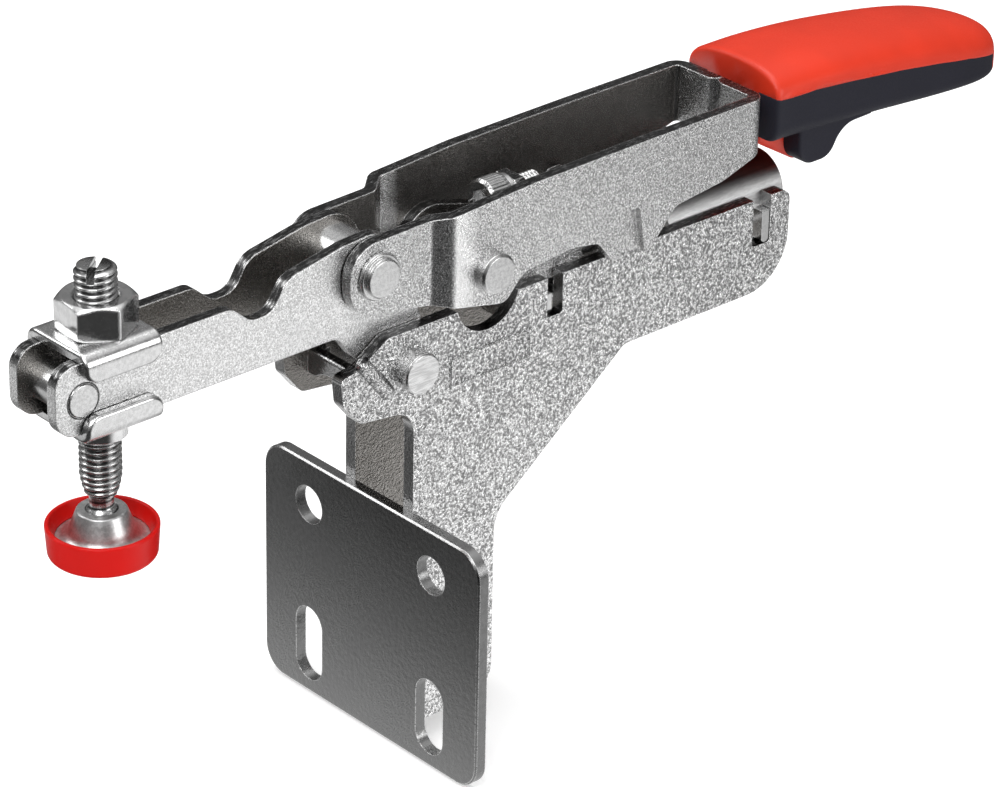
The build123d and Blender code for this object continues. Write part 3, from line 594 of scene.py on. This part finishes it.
def bar_cutter(name, size, place, turn):
    """Closed box of a size, centred at place and turned about its own axis."""
    bm = bmesh.new()
    bmesh.ops.create_cube(bm, size=1.0)
    bmesh.ops.scale(bm, vec=[s * MM for s in size], verts=bm.verts)
    bmesh.ops.rotate(bm, matrix=Matrix.Rotation(turn, 3, "Z"), verts=bm.verts)
    bmesh.ops.translate(bm, vec=[p * MM for p in place], verts=bm.verts)
    mesh = bpy.data.meshes.new(name)
    bm.to_mesh(mesh)
    bm.free()
    return put_in_scene(name, mesh)


def smooth(obj, angle):
    """Shade smooth, with creases where faces meet at more than the angle."""
    obj.data.shade_smooth()
    obj.data.set_sharp_from_angle(angle=math.radians(angle))


def thread(radius, pitch, depth, angle, place):
    """Radius of a rolled thread: rounded crests, tighter roots."""
    phase = place / pitch - angle / math.tau
    wave = 0.5 + 0.5 * math.cos(math.tau * phase)
    return radius - depth * wave ** 1.3


def chamfered(radius, depth, length, past):
    """Radius of a chamfered end, at a distance past the start of the chamfer."""
    return radius - depth * max(0.0, past) / length


def span(low, high, step):
    """Even places from low to high, about a step apart."""
    count = max(2, int(round((high - low) / step)) + 1)
    return [low + (high - low) * k / (count - 1) for k in range(count)]


def make_spindle():
    """Threaded spindle with a tapered end, neck and ball, slotted at the top."""
    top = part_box("spindle")[1][2] / MM

    def radius_at(angle, z):
        if z < TAPER_LOW:
            ball = math.sqrt(max(0.0, BALL_R ** 2 - (z - BALL_Z) ** 2))
            return max(ball, NECK_R if z > BALL_Z else POINT_R)
        share = min(1.0, (z - TAPER_LOW) / (TAPER_HIGH - TAPER_LOW))
        crest = TAPER_R + (SPINDLE_R - TAPER_R) * share ** 0.6
        past = z - top + SPINDLE_CHAMFER_LEN
        end = chamfered(SPINDLE_R, SPINDLE_CHAMFER, SPINDLE_CHAMFER_LEN, past)
        return thread(min(crest, end), SPINDLE_PITCH, 0.35 + 0.30 * share, angle, z)

    rows = span(BALL_Z - BALL_R, TAPER_LOW - 0.05, 0.2)
    rows += span(TAPER_LOW, top, SPINDLE_PITCH / SPINDLE_ROWS_A_TURN)
    obj = ring_mesh("spindle_thread", rows, SPINDLE_SIDES, radius_at)
    carve(obj, bar_cutter("cut", SLOT_BAR, (0, 0, top), SLOT_TURN))
    obj.data.transform(Matrix.Translation((SPINDLE_X * MM, 0, 0)))
    smooth(obj, SPINDLE_CREASE)
    paint(obj, "spindle_steel")
    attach(obj, "spindle")
    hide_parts("spindle")


def make_adjusting_screw():
    """Cap screw with a knurled head, hexagon socket and fine thread."""
    head_end = SCREW_X0 + SCREW_HEAD_LEN
    chamfer = SCREW_HEAD_CHAMFER

    def radius_at(angle, x):
        if x < head_end:
            knurl = KNURL_DEPTH * abs(math.sin(KNURLS * angle / 2)) ** 0.6
            plain = chamfered(SCREW_HEAD_R, chamfer, chamfer, SCREW_X0 + chamfer - x)
            inside = SCREW_X0 + 0.45 < x < head_end - 0.35
            return plain - (KNURL_GROOVE - knurl if inside else KNURL_SHOULDER)
        end = chamfered(SCREW_R, SCREW_CHAMFER, SCREW_CHAMFER, x - SCREW_X1 + SCREW_CHAMFER)
        return thread(end, SCREW_PITCH, SCREW_DEPTH, angle, x)

    def socket_at(angle, x):
        return SOCKET_HALF / math.cos(math.pi / 6)

    # Two rings stand close together where the knurl starts and where it ends.
    rows = [SCREW_X0, SCREW_X0 + 0.4, SCREW_X0 + 0.5] + span(SCREW_X0 + 0.8, head_end - 0.4, 0.6)
    rows += [head_end - 0.3, head_end - 0.01] + span(head_end, SCREW_X1, 0.1)
    obj = ring_mesh("knurled_screw", rows, KNURLS * 6, radius_at)
    carve(obj, ring_mesh("cut", [SCREW_X0 - 1, SCREW_X0 + SOCKET_DEPTH], 6, socket_at))
    obj.data.transform(Matrix.Rotation(math.radians(90), 4, "Y"))
    obj.data.transform(Matrix.Translation((0, 0, SCREW_Z * MM)))
    smooth(obj, SCREW_CREASE)
    paint(obj, "thread_steel")
    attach(obj, "screw")
    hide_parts("adjusting_screw")


# ------------------------------------------------------------------ grip
def along(x, values):
    """Smooth value at x through the stations of the grip."""
    x = min(max(x, GRIP_X[0]), GRIP_X[-1])
    i = max(k for k in range(len(GRIP_X) - 1) if GRIP_X[k] <= x)
    slopes = []
    for k in (i, i + 1):
        a, b = max(k - 1, 0), min(k + 1, len(GRIP_X) - 1)
        slopes.append((values[b] - values[a]) / (GRIP_X[b] - GRIP_X[a]))
    step = GRIP_X[i + 1] - GRIP_X[i]
    t = (x - GRIP_X[i]) / step
    return (
        values[i] * (2 * t ** 3 - 3 * t ** 2 + 1)
        + values[i + 1] * (3 * t ** 2 - 2 * t ** 3)
        + slopes[0] * step * (t ** 3 - 2 * t ** 2 + t)
        + slopes[1] * step * (t ** 3 - t ** 2)
    )


def crown_height(x, y):
    """Height of the wanted crown over a place on the grip."""
    across = min(1.0, abs(y) / along(x, GRIP_HALF))
    shoulder = along(x, GRIP_SHOULDER)
    share = (1 - across ** CROWN_POWER) ** (1 / CROWN_POWER)
    return shoulder + (along(x, GRIP_CROWN) - shoulder) * share


def make_grip_crown():
    """The hard core with its crown drawn fuller and even along its length."""
    source = NODES["grip_core"]
    obj = put_in_scene("grip_shell", source.data.copy())
    bm = bmesh.new()
    bm.from_mesh(obj.data)
    bmesh.ops.remove_doubles(bm, verts=bm.verts, dist=1e-6)
    crown = [
        e for e in bm.edges
        if all(v.co.z / MM > along(v.co.x / MM, GRIP_SHOULDER) for v in e.verts)
    ]
    bmesh.ops.subdivide_edges(bm, edges=crown, cuts=1)
    bmesh.ops.triangulate(bm, faces=bm.faces)
    tree = BVHTree.FromBMesh(bm)
    down = Vector((0, 0, -1))
    moves = []
    for v in bm.verts:
        x, y, z = (c / MM for c in v.co)
        if z < along(x, GRIP_SHOULDER) - SHOULDER_BLEND:
            continue
        x = min(max(x, GRIP_X[0] + CROWN_INSET[0]), GRIP_X[-1] - CROWN_INSET[1])
        hit = tree.ray_cast(Vector((x * MM, y * MM, ABOVE_GRIP * MM)), down)[0]
        if hit is None:
            continue
        lift = max(CROWN_LIFT[0], min(CROWN_LIFT[1], crown_height(x, y) - hit.z / MM))
        above = z - along(x, GRIP_SHOULDER) + SHOULDER_BLEND
        moves.append((v, lift * min(1.0, max(0.0, above))))
    for v, lift in moves:
        v.co.z += lift * MM
    bm.to_mesh(obj.data)
    bm.free()
    smooth(obj, GRIP_CREASE)
    paint(obj, "red_plastic")
    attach(obj, "handle")
    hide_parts("grip_core")


# ------------------------------------------------------------------ stage
def step(tree, fac, low, high, a, b):
    """Smooth step of fac between two places."""
    return ramp(tree, fac, low, high, a, b, "SMOOTHSTEP")


def make_floor():
    """White table: metal sees it bright on the right and dim on the left."""
    low = CAD_BOX[0][2] - FLOOR_DROP
    signs = ((-1, -1), (1, -1), (1, 1), (-1, 1))
    mesh = bpy.data.meshes.new("floor")
    mesh.from_pydata([(x * FLOOR_HALF, y * FLOOR_HALF, low) for x, y in signs], [], [(0, 1, 2, 3)])
    obj = put_in_scene("floor", mesh)
    mat, tree, bsdf = new_material("floor")
    bsdf.inputs["Base Color"].default_value = grey(FLOOR_GREY)
    bsdf.inputs["Roughness"].default_value = FLOOR_ROUGH
    bsdf.inputs["Specular IOR Level"].default_value = 0.0
    bsdf.inputs["Emission Color"].default_value = grey(1.0)
    path = tree.nodes.new("ShaderNodeLightPath")
    where = coord(tree, "Object")
    place = split(tree, where)
    reach = vector_maths(tree, "LENGTH", where)

    # To the camera the table glows into the white world, so no horizon shows.
    white = step(tree, reach, 0.5, 2.2, 0.40, 1.0)
    glow = maths(tree, "MULTIPLY", path.outputs["Is Camera Ray"], white)
    feed(tree, bsdf.inputs["Emission Strength"], glow)

    # In reflections it is lit on the right and behind, and dies away further out.
    right = step(tree, place["X"], -0.08, 0.02, 0.05, 1.15)
    behind = step(tree, place["Y"], 0.08, 0.15, 0.0, 0.8)
    lit = maths(tree, "MAXIMUM", right, behind)
    lit = maths(tree, "MULTIPLY", lit, step(tree, reach, 0.30, 0.60, 1.0, 0.12))
    lit = maths(tree, "MULTIPLY", lit, step(tree, place["X"], 0.08, 0.30, 1.0, 0.30))
    seen = add(tree, "ShaderNodeEmission", Strength=lit)
    both = add(tree, "ShaderNodeMixShader", Fac=path.outputs["Is Glossy Ray"])
    feed(tree, both.inputs[1], bsdf.outputs[0])
    feed(tree, both.inputs[2], seen.outputs[0])
    feed(tree, tree.nodes["Material Output"].inputs["Surface"], both.outputs[0])
    obj.data.materials.append(mat)


def make_world():
    """Pale studio: white to the camera, a dark band near the horizon in reflections."""
    world = bpy.data.worlds.new("studio")
    bpy.context.scene.world = world
    world.use_nodes = True
    tree = world.node_tree
    back = tree.nodes["Background"]
    back.inputs["Color"].default_value = grey(1.0)
    height = ramp(tree, split(tree, coord(tree, "Generated"))["Z"], -1.0, 1.0)
    bands = add(tree, "ShaderNodeValToRGB", Fac=height)
    elements = bands.color_ramp.elements
    while len(elements) < len(WORLD_BANDS):
        elements.new(0.5)
    for element, (place, value) in zip(elements, WORLD_BANDS):
        element.position = place
        element.color = grey(value)
    path = tree.nodes.new("ShaderNodeLightPath")
    strength = tree.nodes.new("ShaderNodeMix")
    feed(tree, strength.inputs["Factor"], path.outputs["Is Camera Ray"])
    feed(tree, strength.inputs["A"], bands.outputs["Color"])
    feed(tree, strength.inputs["B"], 1.0)
    feed(tree, back.inputs["Strength"], strength.outputs["Result"])


def area_light(name, place, target, side, power):
    """Square light at a place, turned to face its target."""
    data = bpy.data.lights.new(name, "AREA")
    data.shape = "SQUARE"
    data.size = side
    data.energy = power
    obj = put_in_scene(name, data)
    obj.location = place
    way = Vector(target) - Vector(place)
    obj.rotation_euler = way.to_track_quat("-Z", "Y").to_euler()


make_camera()
SLOTS = {s["node"]: s["material_slot"] for s in frame["record"]["subparts"]}
for node, obj in NODES.items():
    paint(obj, SPECIAL.get(node, SLOTS[node]))
make_spindle()
make_adjusting_screw()
make_grip_crown()
make_floor()
make_world()
for light in LIGHTS:
    area_light(*light)

bpy.context.scene.view_settings.view_transform = "Standard"
